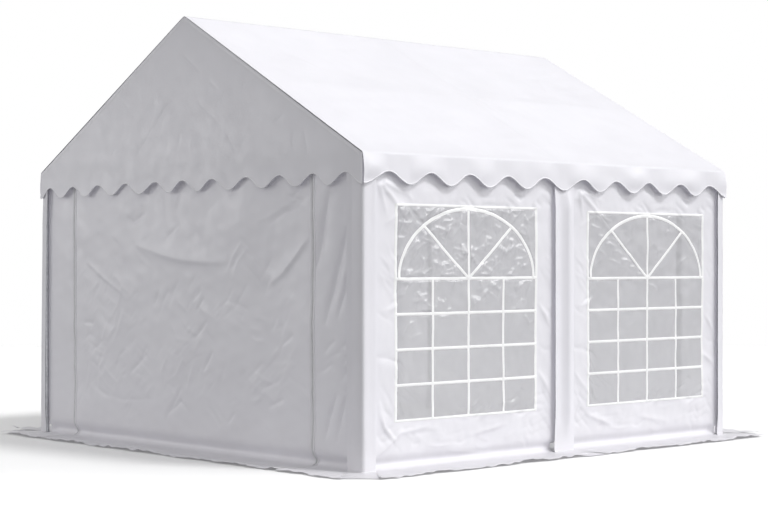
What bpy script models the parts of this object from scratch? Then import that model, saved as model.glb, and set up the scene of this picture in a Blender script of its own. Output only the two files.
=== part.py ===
"""A gable marquee tent, 4 m by 4 m, as separate solids.

A steel tube frame of three portal frames carries a PVC roof with scalloped
valances. Zipped end walls close the gables, and arched film windows light both
long sides. Metres, +Z up. The origin is on the ground under the middle of the
tent. The ridge runs along Y, the front gable faces -Y and the windows face +X
and -X. Left is -X and right is +X.
"""

import math

import bmesh
import bpy
from mathutils import Matrix, Vector

# Driving dimensions of the tent
WIDTH = 4.0
LENGTH = 4.0
EAVE_HEIGHT = 2.15
RIDGE_HEIGHT = 3.26

# Sheets, the small gap between two solids that touch, and how near points are made one
SHEET = 0.004
FILM = 0.003
GAP = 0.0003
WELD = 0.00001

# Valance: how far its scallops reach below the eave, at their crests and at their tips
SCALLOP_CREST = 0.125
SCALLOP_TIP = 0.21
SIDE_SCALLOPS_IN_A_BAY = 5
SIDE_SCALLOP_PITCH = 0.39
SIDE_SCALLOPS_MIDDLE = 0.992
SIDE_SCALLOPS_SHIFT = 0.012
GABLE_CRESTS_FROM_MIDDLE = (0.36, 0.76, 1.14, 1.50, 1.84)
GABLE_CRESTS_SHIFT = 0.018
VALANCE_INSET = 0.001
VALANCE_BOW = 0.0005
POINTS_IN_A_SCALLOP = 8

# Walls, sleeves and ground skirts
VALANCE_TO_SLEEVE = 0.008
SLEEVE_TOP = 2.12
SKIRT_WIDTH = 0.33
WIDE_SLEEVE = (0.155, 0.115)
NARROW_SLEEVE = (0.09, 0.09)
MIDDLE_SLEEVE = 0.21
MIDDLE_SLEEVE_SHIFT = 0.032
SLEEVE_ROUNDING = 0.022
ARC_STEPS = 6
FOOT_FLAP_NEAR = 0.096
FOOT_FLAP_FAR = 0.282
DOOR_WIDTH = 2.99
DOOR_SHIFT = 0.05
ZIP_WIDTH = 0.02

# Windows: the clear opening in each side wall
WINDOW_WIDTH = 1.39
WINDOW_BOTTOM = 0.357
WINDOW_TOP = 1.795
WINDOW_SHIFT = 0.038

# Steel frame
TUBE_RADIUS = 0.019
TUBE_SIDES = 16
SOCKET_RADIUS = 0.022
SOCKET_SIDES = 16
SOCKET_STEP = 0.0004
EAVE_SOCKET = 0.12
RIDGE_SOCKET = 0.12
SLOPE_SOCKET = 0.10
FOOT_SOCKET = 0.08
FOOT_PLATE = 0.075
FOOT_PLATE_PAST_LEG = 0.015
FOOT_PLATE_THICKNESS = 0.005
PEG_HOLE_RADIUS = 0.007
PEG_HOLE_INSET = 0.018
PEG_HOLE_SIDES = 12

# Worked out from the driving dimensions
HALF_WIDTH = WIDTH / 2
HALF_LENGTH = LENGTH / 2
PITCH = math.atan2(RIDGE_HEIGHT - EAVE_HEIGHT, HALF_WIDTH)
SHEET_UPRIGHT = SHEET / math.cos(PITCH)
SLEEVE_X = HALF_WIDTH - VALANCE_TO_SLEEVE
SLEEVE_Y = HALF_LENGTH - VALANCE_TO_SLEEVE
LEG_IN_SLEEVE = SHEET + GAP + SOCKET_RADIUS
LEG_X = SLEEVE_X - LEG_IN_SLEEVE
LEG_Y = SLEEVE_Y - LEG_IN_SLEEVE
FRAMES = {"front": -LEG_Y, "middle": 0.0, "back": LEG_Y}
FRAMES_Y = tuple(FRAMES.values())
RIDGE_Z = RIDGE_HEIGHT - (SHEET + GAP + SOCKET_RADIUS) / math.cos(PITCH)
EAVE_Z = RIDGE_Z - LEG_X * math.tan(PITCH)
WALL_FROM_LEG = SOCKET_RADIUS + GAP
WALL_TOP = EAVE_Z - WALL_FROM_LEG
WALL_BOTTOM = 0.001
WALL_OVER_PLATE = FOOT_PLATE_THICKNESS + GAP
WALL_OVER_MIDDLE_PLATE = WALL_OVER_PLATE + 0.001
SKIRT_ROOT = -LEG_IN_SLEEVE
SKIRT_INSET = 0.001
CLEAR_OF_SLEEVE = 2 * GAP
PLATE_EDGE = LEG_X + FOOT_PLATE_PAST_LEG - FOOT_PLATE - GAP

X = Vector((1, 0, 0))
Y = Vector((0, 1, 0))
Z = Vector((0, 0, 1))
SIDES = {"left": -1, "right": 1}
ENDS = {"front": -1, "back": 1}


def clear_scene():
    for thing in list(bpy.data.objects):
        bpy.data.objects.remove(thing)


def new_collection(name):
    collection = bpy.data.collections.new(name)
    bpy.context.scene.collection.children.link(collection)
    return collection


def new_material(name, colour, roughness, metallic=0.0, alpha=1.0):
    material = bpy.data.materials.new(name)
    material.use_nodes = True
    shader = material.node_tree.nodes["Principled BSDF"]
    shader.inputs["Base Color"].default_value = (*colour, 1.0)
    shader.inputs["Roughness"].default_value = roughness
    shader.inputs["Metallic"].default_value = metallic
    shader.inputs["Alpha"].default_value = alpha
    return material


clear_scene()
TENT = new_collection("marquee_tent")
CUTTERS = new_collection("cutters")
PVC = new_material("white_pvc", (0.86, 0.86, 0.88), 0.45)
CLEAR_FILM = new_material("clear_film", (0.62, 0.62, 0.64), 0.15, alpha=0.35)
STEEL = new_material("galvanized_steel", (0.62, 0.63, 0.65), 0.4, metallic=1.0)
ZIPPER = new_material("zip_tape", (0.78, 0.78, 0.80), 0.6)


def add_mesh(name, mesh, material, collection):
    mesh.materials.append(material)
    piece = bpy.data.objects.new(name, mesh)
    collection.objects.link(piece)
    return piece


def mesh_of(shape, name):
    """A new mesh from the bmesh shape, with outward faces."""
    bmesh.ops.recalc_face_normals(shape, faces=shape.faces)
    mesh = bpy.data.meshes.new(name)
    shape.to_mesh(mesh)
    shape.free()
    return mesh


def tubes(name, runs, radius, sides=TUBE_SIDES, collection=TENT):
    """Round bars, one for each (start, end) in runs, in one object."""
    shape = bmesh.new()
    for start, end in runs:
        along = end - start
        turn = along.to_track_quat("Z", "Y").to_matrix().to_4x4()
        bmesh.ops.create_cone(
            shape,
            cap_ends=True,
            segments=sides,
            radius1=radius,
            radius2=radius,
            depth=along.length,
            matrix=Matrix.Translation((start + end) / 2) @ turn,
        )
    mesh = mesh_of(shape, name)
    mesh.shade_smooth()
    mesh.set_sharp_from_angle(angle=math.radians(40))
    return add_mesh(name, mesh, STEEL, collection)


def box(name, low, high, material, collection=TENT):
    """A box between its lowest and its highest corner."""
    shape = bmesh.new()
    place = Matrix.Translation((low + high) / 2)
    size = Matrix.Diagonal((*(high - low), 1.0))
    bmesh.ops.create_cube(shape, size=1.0, matrix=place @ size)
    return add_mesh(name, mesh_of(shape, name), material, collection)


def plane(across, up, origin):
    """The placing of a flat outline whose own x runs along across and y along up."""
    out = across.cross(up)
    axes = Matrix((across, up, out)).transposed().to_4x4()
    return Matrix.Translation(origin) @ axes


def sheet(name, loops, thickness, placing, material=PVC, collection=TENT):
    """A flat sheet: loops of points in its own plane, as outlines and the holes in them."""
    outline = bpy.data.curves.new(name, "CURVE")
    outline.dimensions = "2D"
    outline.fill_mode = "BOTH"
    outline.extrude = thickness / 2
    for loop in loops:
        spline = outline.splines.new("POLY")
        spline.points.add(len(loop) - 1)
        for point, (across, up) in zip(spline.points, loop):
            point.co = (across, up, 0.0, 1.0)
        spline.use_cyclic_u = True
    piece = add_mesh(name, outline, material, collection)
    piece.matrix_world = placing
    return piece


def as_mesh(curve):
    """The curve object made a mesh object of the same name, with its caps welded on."""
    name = curve.name
    bpy.context.view_layer.update()
    evaluated = curve.evaluated_get(bpy.context.evaluated_depsgraph_get())
    mesh = bpy.data.meshes.new_from_object(evaluated)
    shape = bmesh.new()
    shape.from_mesh(mesh)
    bmesh.ops.remove_doubles(shape, verts=shape.verts, dist=WELD)
    shape.to_mesh(mesh)
    shape.free()
    placing = curve.matrix_world.copy()
    collection = curve.users_collection[0]
    bpy.data.objects.remove(curve)
    piece = bpy.data.objects.new(name, mesh)
    piece.matrix_world = placing
    collection.objects.link(piece)
    return piece


def combine(piece, helper, operation):
    """Joins helper to piece, or cuts it away, and hides helper."""
    helper.hide_render = True
    helper.display_type = "WIRE"
    boolean = piece.modifiers.new(helper.name, "BOOLEAN")
    boolean.operation = operation
    boolean.object = helper


def rectangle(low_across, high_across, low_up, high_up):
    return [
        (low_across, low_up),
        (high_across, low_up),
        (high_across, high_up),
        (low_across, high_up),
    ]


def slope_point(side, along, y):
    """A point on a rafter's axis, along metres down the slope from the ridge."""
    return Vector((side * along * math.cos(PITCH), y, RIDGE_Z - along * math.sin(PITCH)))


SLOPE_LENGTH = LEG_X / math.cos(PITCH)
SLOPE_MIDDLE = SLOPE_LENGTH / 2


def inside_bays(y, reach):
    """The ends of a socket along Y at the frame at y, which doesn't leave the tent."""
    low = y if y == FRAMES_Y[0] else y - reach
    high = y if y == FRAMES_Y[-1] else y + reach
    return low, high


def with_sockets(tube, *arms):
    """Welds sockets to a tube. Each of the arms is a list of like sockets, clear of each other."""
    for count, runs in enumerate(arms):
        radius = SOCKET_RADIUS - count * SOCKET_STEP
        arm = tubes(f"{tube.name}_arm_{count}", runs, radius, SOCKET_SIDES, CUTTERS)
        combine(tube, arm, "UNION")


def base_plate(name, side, y):
    """A flat plate with two peg holes, under a leg and inside the sleeve."""
    outer_x = side * (LEG_X + FOOT_PLATE_PAST_LEG)
    inner_x = outer_x - side * FOOT_PLATE
    outer_y = y + math.copysign(FOOT_PLATE_PAST_LEG, y) if y else FOOT_PLATE / 2
    inner_y = outer_y - math.copysign(FOOT_PLATE, outer_y)
    low = Vector((min(outer_x, inner_x), min(outer_y, inner_y), 0.0))
    high = Vector((max(outer_x, inner_x), max(outer_y, inner_y), FOOT_PLATE_THICKNESS))
    plate = box(name, low, high, STEEL)
    peg_x = inner_x + side * PEG_HOLE_INSET
    holes = []
    for peg_y in (low.y + PEG_HOLE_INSET, high.y - PEG_HOLE_INSET):
        below = Vector((peg_x, peg_y, -FOOT_PLATE_THICKNESS))
        holes.append((below, below + 3 * FOOT_PLATE_THICKNESS * Z))
    pegs = tubes(f"{name}_pegs", holes, PEG_HOLE_RADIUS, PEG_HOLE_SIDES, CUTTERS)
    combine(plate, pegs, "DIFFERENCE")
    return plate


def legs():
    """Each leg and its base plate, which has a socket round the leg's foot."""
    for side_name, side in SIDES.items():
        for frame_name, y in FRAMES.items():
            name = f"leg_{frame_name}_{side_name}"
            plate = base_plate(name, side, y)
            foot = Vector((side * LEG_X, y, FOOT_PLATE_THICKNESS / 2))
            above = foot + FOOT_SOCKET * Z
            socket = tubes(f"{name}_socket", [(foot, above)], SOCKET_RADIUS, SOCKET_SIDES, CUTTERS)
            combine(plate, socket, "UNION")
            inside = foot + FOOT_SOCKET / 2 * Z
            top = Vector((foot.x, y, EAVE_Z - EAVE_SOCKET - GAP))
            leg = tubes(f"{name}_tube", [(inside, top)], TUBE_RADIUS, TUBE_SIDES, CUTTERS)
            combine(plate, leg, "UNION")


def rafters():
    """Each rafter runs from ridge to eave, with a fitting for the purlins at its middle."""
    for side_name, side in SIDES.items():
        for frame_name, y in FRAMES.items():
            high = slope_point(side, RIDGE_SOCKET + GAP, y)
            low = slope_point(side, SLOPE_LENGTH - EAVE_SOCKET - GAP, y)
            rafter = tubes(f"rafter_{frame_name}_{side_name}", [(high, low)], TUBE_RADIUS)
            above = slope_point(side, SLOPE_MIDDLE - SLOPE_SOCKET, y)
            below = slope_point(side, SLOPE_MIDDLE + SLOPE_SOCKET, y)
            first, last = inside_bays(y, SLOPE_SOCKET)
            across = (slope_point(side, SLOPE_MIDDLE, first), slope_point(side, SLOPE_MIDDLE, last))
            with_sockets(rafter, [(above, below)], [across])


def slope_purlins():
    """The purlins halfway down each slope, one to a bay."""
    bays = {"front": (FRAMES_Y[0], FRAMES_Y[1]), "back": (FRAMES_Y[1], FRAMES_Y[2])}
    for side_name, side in SIDES.items():
        for bay_name, (start, end) in bays.items():
            low = slope_point(side, SLOPE_MIDDLE, start + SLOPE_SOCKET + GAP)
            high = slope_point(side, SLOPE_MIDDLE, end - SLOPE_SOCKET - GAP)
            tubes(f"slope_purlin_{side_name}_{bay_name}", [(low, high)], TUBE_RADIUS)


def ridge_purlin():
    """The ridge tube, with the sockets that take the rafters of all three frames."""
    ends = (slope_point(1, 0.0, FRAMES_Y[0]), slope_point(1, 0.0, FRAMES_Y[-1]))
    purlin = tubes("ridge_purlin", [ends], TUBE_RADIUS)
    left, right, along = [], [], []
    for y in FRAMES_Y:
        middle = slope_point(1, 0.0, y)
        left.append((middle, slope_point(-1, RIDGE_SOCKET, y)))
        right.append((middle, slope_point(1, RIDGE_SOCKET, y)))
        low, high = inside_bays(y, RIDGE_SOCKET)
        along.append((slope_point(1, 0.0, low), slope_point(1, 0.0, high)))
    with_sockets(purlin, along, left, right)


def eave_purlins():
    """The eave tubes, with the sockets for the legs, the rafters and the gable ties."""
    for side_name, side in SIDES.items():
        ends = [slope_point(side, SLOPE_LENGTH, y) for y in (FRAMES_Y[0], FRAMES_Y[-1])]
        purlin = tubes(f"eave_purlin_{side_name}", [ends], TUBE_RADIUS)
        leg, rafter, along, tie = [], [], [], []
        for y in FRAMES_Y:
            middle = slope_point(side, SLOPE_LENGTH, y)
            leg.append((middle, middle - EAVE_SOCKET * Z))
            rafter.append((middle, slope_point(side, SLOPE_LENGTH - EAVE_SOCKET, y)))
            low, high = inside_bays(y, EAVE_SOCKET)
            along.append(
                (slope_point(side, SLOPE_LENGTH, low), slope_point(side, SLOPE_LENGTH, high))
            )
            if y != 0.0:
                tie.append((middle, middle - side * EAVE_SOCKET * X))
        with_sockets(purlin, along, leg, rafter, tie)


def gable_ties():
    """The level tubes between the corner fittings, which the end walls hang from."""
    reach = LEG_X - EAVE_SOCKET - GAP
    for name, end in ENDS.items():
        left = Vector((-reach, end * LEG_Y, EAVE_Z))
        right = Vector((reach, end * LEG_Y, EAVE_Z))
        tubes(f"gable_tie_{name}", [(left, right)], TUBE_RADIUS)


def roof_slopes():
    """The roof sheet on each side of the ridge, with the scalloped valance below its eave."""
    top = EAVE_HEIGHT - SHEET_UPRIGHT / 2
    reach = HALF_LENGTH - VALANCE_INSET
    for name, side in SIDES.items():
        edge = scalloped_edge(side_crests(side), -reach, reach)
        outline = [*edge, (reach, top), (-reach, top)]
        middle = side * GAP / 2
        section = [
            (middle, RIDGE_HEIGHT),
            (side * HALF_WIDTH, EAVE_HEIGHT),
            (side * HALF_WIDTH, EAVE_HEIGHT - SHEET_UPRIGHT),
            (middle, RIDGE_HEIGHT - SHEET_UPRIGHT),
        ]
        node = f"roof_slope_{name}"
        slope = as_mesh(sheet(node, [section], LENGTH, plane(X, Z, Vector())))
        face = plane(Y, Z, Vector((side * (HALF_WIDTH - VALANCE_INSET - SHEET / 2), 0, 0)))
        valance = as_mesh(sheet(f"{node}_valance", [outline], SHEET, face, PVC, CUTTERS))
        combine(slope, valance, "UNION")


def scallop_point(across, share):
    """A point of the lower edge, at a share of the way from one scallop's crest to the next.

    The edge hangs a little lower towards its ends, so no three crests are in one line.
    """
    middle = EAVE_HEIGHT - (SCALLOP_CREST + SCALLOP_TIP) / 2
    swing = (SCALLOP_TIP - SCALLOP_CREST) / 2
    height = middle + swing * math.cos(2 * math.pi * share)
    return across, height - VALANCE_BOW * across * across


def scalloped_edge(crests, start, end):
    """Points of a wavy lower edge from start to end, with its crests at the given places."""
    first = 2 * start - crests[0]
    last = 2 * end - crests[-1]
    stations = [first, *crests, last]
    points = []
    for low, high in zip(stations, stations[1:]):
        for step in range(POINTS_IN_A_SCALLOP):
            share = step / POINTS_IN_A_SCALLOP
            across = low + share * (high - low)
            if start + GAP < across < end - GAP:
                points.append(scallop_point(across, share))
    return [scallop_point(start, 0.5), *points, scallop_point(end, 0.5)]


def side_crests(side):
    """Scallop crests along a long side: even in each bay, a little wider over the frames."""
    crests = []
    for bay in (-1, 1):
        middle = bay * SIDE_SCALLOPS_MIDDLE + side * SIDE_SCALLOPS_SHIFT
        for count in range(SIDE_SCALLOPS_IN_A_BAY):
            step = count - (SIDE_SCALLOPS_IN_A_BAY - 1) / 2
            crests.append(middle + step * SIDE_SCALLOP_PITCH)
    return crests


def gable_crests(end):
    """Scallop crests across a gable, closer together towards its corners."""
    from_middle = [-step for step in reversed(GABLE_CRESTS_FROM_MIDDLE)]
    from_middle += [0.0, *GABLE_CRESTS_FROM_MIDDLE]
    return [step + end * GABLE_CRESTS_SHIFT for step in from_middle]


def gables():
    """The triangular end of the roof sheet with the valance below it, in one piece."""
    reach = HALF_WIDTH - VALANCE_INSET - SHEET - GAP
    clear = SHEET_UPRIGHT + GAP / math.cos(PITCH)
    shoulder = RIDGE_HEIGHT - reach * math.tan(PITCH) - clear
    for name, end in ENDS.items():
        edge = scalloped_edge(gable_crests(end), -reach, reach)
        outline = [*edge, (reach, shoulder), (0.0, RIDGE_HEIGHT - clear), (-reach, shoulder)]
        middle = end * (HALF_LENGTH - SHEET / 2)
        sheet(f"gable_{name}", [outline], SHEET, plane(X, Z, Vector((0, middle, 0))))


def over_plate(edge, plate_end, height=WALL_OVER_PLATE):
    """The lower corner of a wall panel at a leg, cut out above the leg's base plate."""
    return [(edge, height), (plate_end, height), (plate_end, WALL_BOTTOM)]


def wall_panel(name, face, lower_edge, skirt, opening=None):
    """A wall panel that turns outward at the ground into a skirt.

    face places the wall's outline, lower_edge is its lower edge from one end to the other
    and skirt is the plan of the ground strip. opening is a loop cut through the wall.
    """
    first, last = lower_edge[0][0], lower_edge[-1][0]
    loops = [[*lower_edge, (last, WALL_TOP), (first, WALL_TOP)]]
    if opening:
        loops.append(opening)
    panel = as_mesh(sheet(name, loops, SHEET, face))
    on_ground = plane(X, Y, Vector((0, 0, SHEET / 2)))
    strip = as_mesh(sheet(f"{name}_skirt", [skirt], SHEET, on_ground, PVC, CUTTERS))
    combine(panel, strip, "UNION")


def side_walls():
    """Two wall panels on each long side, each with a window opening and a film pane."""
    at_corner = over_plate(LEG_Y - WALL_FROM_LEG, PLATE_EDGE)
    at_middle = over_plate(WALL_FROM_LEG, FOOT_PLATE / 2 + GAP, WALL_OVER_MIDDLE_PLATE)
    lower_edge = [*at_middle, *reversed(at_corner)]
    half_window = WINDOW_WIDTH / 2
    for side_name, side in SIDES.items():
        face = plane(Y, Z, Vector((side * LEG_X, 0, 0)))
        for end_name, end in ENDS.items():
            name = f"{side_name}_{end_name}"
            edge = [(end * along, up) for along, up in lower_edge]
            middle = end * LENGTH / 4 + side * WINDOW_SHIFT
            low, high = middle - half_window, middle + half_window
            opening = rectangle(low, high, WINDOW_BOTTOM, WINDOW_TOP)
            start = MIDDLE_SLEEVE / 2 + side * end * MIDDLE_SLEEVE_SHIFT + CLEAR_OF_SLEEVE
            strip = skirt_plan(start, sleeve_widths(side, end)[1])
            skirt = [(side * (SLEEVE_X + out), end * along) for along, out in strip]
            wall_panel(f"window_wall_{name}", face, edge, skirt, opening)
            pane = rectangle(low + GAP, high - GAP, WINDOW_BOTTOM + GAP, WINDOW_TOP - GAP)
            sheet(f"window_pane_{name}", [pane], FILM, face, CLEAR_FILM)


def end_walls():
    """Each gable end: a wide door sheet, zipped on both edges to a wall strip."""
    at_corner = over_plate(LEG_X - WALL_FROM_LEG, PLATE_EDGE)
    half_zip = ZIP_WIDTH / 2
    half_door = DOOR_WIDTH / 2 - half_zip
    for name, end in ENDS.items():
        face = plane(X, Z, Vector((0, end * LEG_Y, 0)))
        middle = end * DOOR_SHIFT
        left, right = middle - half_door, middle + half_door
        door_skirt = rectangle(left + SKIRT_INSET, right - SKIRT_INSET, SKIRT_ROOT, SKIRT_WIDTH)
        skirt = [(x, end * (SLEEVE_Y + out)) for x, out in door_skirt]
        door_edge = [(left, WALL_BOTTOM), (right, WALL_BOTTOM)]
        wall_panel(f"door_{name}", face, door_edge, skirt)
        for side_name, side in SIDES.items():
            beyond_zip = half_door + ZIP_WIDTH + side * middle
            strip = skirt_plan(beyond_zip + SKIRT_INSET, sleeve_widths(side, end)[0])
            skirt = [(side * x, end * (SLEEVE_Y + out)) for x, out in strip]
            lower_edge = [(beyond_zip, WALL_BOTTOM), *reversed(at_corner)]
            wall_edge = [(side * along, up) for along, up in lower_edge]
            wall_panel(f"end_wall_{name}_{side_name}", face, wall_edge, skirt)
            tape_middle = middle + side * DOOR_WIDTH / 2
            low, high = tape_middle - half_zip + GAP, tape_middle + half_zip - GAP
            tape = rectangle(low, high, WALL_BOTTOM, WALL_TOP)
            sheet(f"zip_{name}_{side_name}", [tape], SHEET, face, ZIPPER)


def sleeve_widths(side, end):
    """A corner sleeve's reach along the end wall and along the side wall.

    The right front and left back corners have wide sleeves, the other two narrow ones.
    """
    return WIDE_SLEEVE if side * end < 0 else NARROW_SLEEVE


def rounded_corner(inward):
    """An arc round the corner of a sleeve, from its end face to its side face.

    It is drawn for the corner in +X and +Y, about that corner, and lies inward
    metres inside the sleeve's outer face.
    """
    radius = SLEEVE_ROUNDING - inward
    points = []
    for step in range(ARC_STEPS + 1):
        angle = math.pi / 2 * (1 - step / ARC_STEPS)
        across = radius * math.cos(angle) - SLEEVE_ROUNDING
        up = radius * math.sin(angle) - SLEEVE_ROUNDING
        points.append((across, up))
    return points


def corner_sleeves():
    """A band folded round each corner leg, which runs out into a flap on the ground."""
    for end_name, end in ENDS.items():
        for side_name, side in SIDES.items():
            on_end, on_side = sleeve_widths(side, end)
            inner = rounded_corner(SHEET)
            band = [
                (-on_end, 0.0),
                *rounded_corner(0.0),
                (0.0, -on_side),
                (-SHEET, -on_side),
                *reversed(inner),
                (-on_end, -SHEET),
            ]
            flap = [
                (-on_end, 0.0),
                (FOOT_FLAP_NEAR, FOOT_FLAP_FAR),
                (FOOT_FLAP_FAR, FOOT_FLAP_NEAR),
                (0.0, -on_side),
                (-SHEET / 2, -on_side),
                *reversed(rounded_corner(SHEET / 2)),
                (-on_end, -SHEET / 2),
            ]
            corner = Vector((side * SLEEVE_X, end * SLEEVE_Y, 0))
            name = f"corner_sleeve_{end_name}_{side_name}"
            sleeve = place_band(name, band, SLEEVE_TOP, corner, side, end)
            helper = place_band(f"{name}_flap", flap, SHEET, corner, side, end, CUTTERS)
            combine(sleeve, helper, "UNION")


def place_band(name, outline, height, corner, side, end, collection=TENT):
    """An upright prism on the ground, its outline mirrored into the corner it is for."""
    loop = [(side * across, end * up) for across, up in outline]
    middle = corner + Vector((0, 0, height / 2))
    return as_mesh(sheet(name, [loop], height, plane(X, Y, middle), PVC, collection))


def middle_sleeves():
    """A flat band over each middle leg, with its own flap on the ground."""
    half = MIDDLE_SLEEVE / 2
    for name, side in SIDES.items():
        outer = side * SLEEVE_X
        inner = outer - side * SHEET
        tip = outer + side * SKIRT_WIDTH
        root = outer - side * SHEET / 2
        middle = side * MIDDLE_SLEEVE_SHIFT
        low = Vector((min(outer, inner), middle - half, 0))
        high = Vector((max(outer, inner), middle + half, SLEEVE_TOP))
        band = box(f"middle_sleeve_{name}", low, high, PVC)
        low = Vector((min(root, tip), middle - half, 0))
        high = Vector((max(root, tip), middle + half, SHEET))
        flap = box(f"middle_flap_{name}", low, high, PVC, CUTTERS)
        combine(band, flap, "UNION")


def flap_edge(width, out):
    """Where a corner flap's slanted edge lies, out metres from the sleeve's face."""
    share = out / FOOT_FLAP_FAR
    return -width + share * (FOOT_FLAP_NEAR + width)


def skirt_plan(start, width):
    """A skirt from start to the flap of a corner sleeve, as (along, out) points.

    along is the distance from the middle of the wall and out is past the sleeves. The
    skirt is as wide as the wall at its root and follows the flap's slanted edge.
    """
    at_wall = SLEEVE_Y - width - CLEAR_OF_SLEEVE
    at_tip = SLEEVE_Y + flap_edge(width, SKIRT_WIDTH) - CLEAR_OF_SLEEVE
    return [
        (start, SKIRT_ROOT),
        (at_wall, SKIRT_ROOT),
        (at_wall, 0.0),
        (at_tip, SKIRT_WIDTH),
        (start, SKIRT_WIDTH),
    ]


def build_frame():
    legs()
    rafters()
    slope_purlins()
    ridge_purlin()
    eave_purlins()
    gable_ties()


def build_cover():
    roof_slopes()
    gables()
    side_walls()
    end_walls()
    corner_sleeves()
    middle_sleeves()


build_frame()
build_cover()
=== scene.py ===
"""The looks of the marquee tent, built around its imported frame.

Every fabric solid is replaced by a modelled sheet that hangs in the same place: the
roof, the gables, the walls with their skirts, the window film and the sleeves over
the legs. The steel tubes stay and get a galvanized finish. Metres, +Z up.

A wall is described in the terms of its own face. along runs to the right as seen
from outside, out is the distance from the middle of the tent and up is the height.
The faces are numbered 0 front, 1 right, 2 back and 3 left.
"""

import math

import bpy
import numpy as np
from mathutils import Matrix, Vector


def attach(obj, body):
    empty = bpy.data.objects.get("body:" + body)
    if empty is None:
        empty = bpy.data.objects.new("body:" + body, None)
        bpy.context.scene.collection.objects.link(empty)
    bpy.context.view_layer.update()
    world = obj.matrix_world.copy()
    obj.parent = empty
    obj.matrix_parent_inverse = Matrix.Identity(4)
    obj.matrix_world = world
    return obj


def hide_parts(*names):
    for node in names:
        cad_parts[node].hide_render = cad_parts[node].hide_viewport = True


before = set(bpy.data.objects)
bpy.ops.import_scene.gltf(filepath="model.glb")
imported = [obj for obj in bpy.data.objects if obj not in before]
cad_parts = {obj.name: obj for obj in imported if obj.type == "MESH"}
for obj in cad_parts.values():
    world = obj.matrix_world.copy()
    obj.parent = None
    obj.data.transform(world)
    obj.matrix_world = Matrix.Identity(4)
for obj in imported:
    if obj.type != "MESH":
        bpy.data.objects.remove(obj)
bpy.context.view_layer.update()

# The tent's main sizes, as in the frame
HALF = 2.0
EAVE = 2.15
RIDGE = 3.26
PITCH = math.atan2(RIDGE - EAVE, HALF)
WALL_OUT = 1.9657
WALL_END = 1.9434
WALL_TOP = 2.112
WALL_AT_MIDDLE_LEG = 0.0223
VALANCE_DEPTH = 0.2
SLEEVE_OUT = 1.992
SLEEVE_TOP = 2.118
SLEEVE_ROUNDING = 0.022
SLEEVE_GAP = 0.0006
SHEET_IN_SOLID = 0.002
ZIPS = (-1.545, 1.445)
HALF_ZIP = 0.010

# How far the skirt and the sleeves' flaps lie out on the ground
SKIRT = 0.352
SKIRT_START = 0.0263
SKIRT_SLANTED = 0.33
FLAP_NEAR = 0.096
FLAP_FAR = 0.282

# The camera, which stands level
CAMERA = Vector((10.8176, -9.9502, 1.4254))
CAMERA_YAW = math.radians(47.2794)
LENS = 83.459
HORIZON_SHIFT = -0.00286

# How a wall turns outward onto the ground: its steepness at ways up from the fold
GROUND = 0.0015
PROFILE_UP = (-0.42, -0.10, -0.05, -0.025, 0.0, 0.018, 0.032, 0.05, 0.075, 0.10, 0.13)
PROFILE_TURN = (89.7, 89.0, 86.0, 74.0, 45.0, 6.0, -26.0, -42.0, -30.0, -10.0, 0.0)
FOLD_TOP = 0.13

FACES = ("front", "right", "back", "left")
LOW_END_NODES = ("front_left", "right_front", "back_right", "left_back")
HIGH_END_NODES = ("front_right", "right_back", "back_left", "left_front")
CORNERS = ("front_right", "back_right", "back_left", "front_left")
CORNER_WIDTHS = ((0.155, 0.115), (0.09, 0.09), (0.155, 0.115), (0.09, 0.09))


# Shapes that the surfaces share


def to_world(face, along, out, up):
    """World points, an array of (x, y, z), from a face's own terms."""
    cosine = (1, 0, -1, 0)[face]
    sine = (0, 1, 0, -1)[face]
    x = along * cosine + out * sine
    y = along * sine - out * cosine
    return np.stack(np.broadcast_arrays(x, y, up), axis=-1)


def smooth_step(low, high, value):
    share = np.clip((value - low) / (high - low), 0.0, 1.0)
    return share * share * (3 - 2 * share)


def swell(across, up, size, seed):
    """Smooth random waves of about the given size, mostly between -1 and 1."""
    random = np.random.default_rng(seed)
    total = np.zeros(np.broadcast(across, up).shape)
    count = 10
    for _ in range(count):
        turn = random.uniform(0, math.pi)
        wave = 2 * math.pi / (size * random.uniform(0.7, 1.5))
        phase = random.uniform(0, 2 * math.pi)
        total += np.sin(wave * (across * math.cos(turn) + up * math.sin(turn)) + phase)
    return total / math.sqrt(count / 2) / 1.6


def fold(across, up, route, width, height, skew=0.25, rooted=False):
    """The height of one fold of the cloth along a route of (across, up) points.

    A rooted fold is strongest at its start, where the cloth is held, and others fade
    towards both ends. skew makes one flank steeper than the other.
    """
    result = np.zeros(np.broadcast(across, up).shape)
    route = np.array(route, float)
    reach = 2.5 * width
    low = route.min(axis=0) - reach
    high = route.max(axis=0) + reach
    near = (across > low[0]) & (across < high[0]) & (up > low[1]) & (up < high[1])
    if not near.any():
        return result
    points = np.stack([across[near], up[near]], axis=-1)
    steps = np.diff(route, axis=0)
    lengths = np.hypot(steps[:, 0], steps[:, 1])
    total = lengths.sum()
    nearest = np.full(len(points), 1e9)
    share = np.zeros(len(points))
    side = np.ones(len(points))
    done = 0.0
    for start, step, length in zip(route, steps, lengths):
        offset = points - start
        at = np.clip(offset @ step / length**2, 0.0, 1.0)
        away = offset - at[:, None] * step
        distance = np.hypot(away[:, 0], away[:, 1])
        closer = distance < nearest
        nearest[closer] = distance[closer]
        share[closer] = (done + at[closer] * length) / total
        side[closer] = np.sign(step[0] * away[closer, 1] - step[1] * away[closer, 0])
        done += length
    ratio = nearest / (width * (1 + skew * side))
    crest = np.exp(0.2 - np.sqrt(6.25 * ratio**2 + 0.04))
    if rooted:
        fade = np.cos(math.pi / 2 * share) * smooth_step(0.0, 0.06, share)
    else:
        fade = np.sin(math.pi * share) ** 0.7
    result[near] = height * crest * fade
    return result


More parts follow.
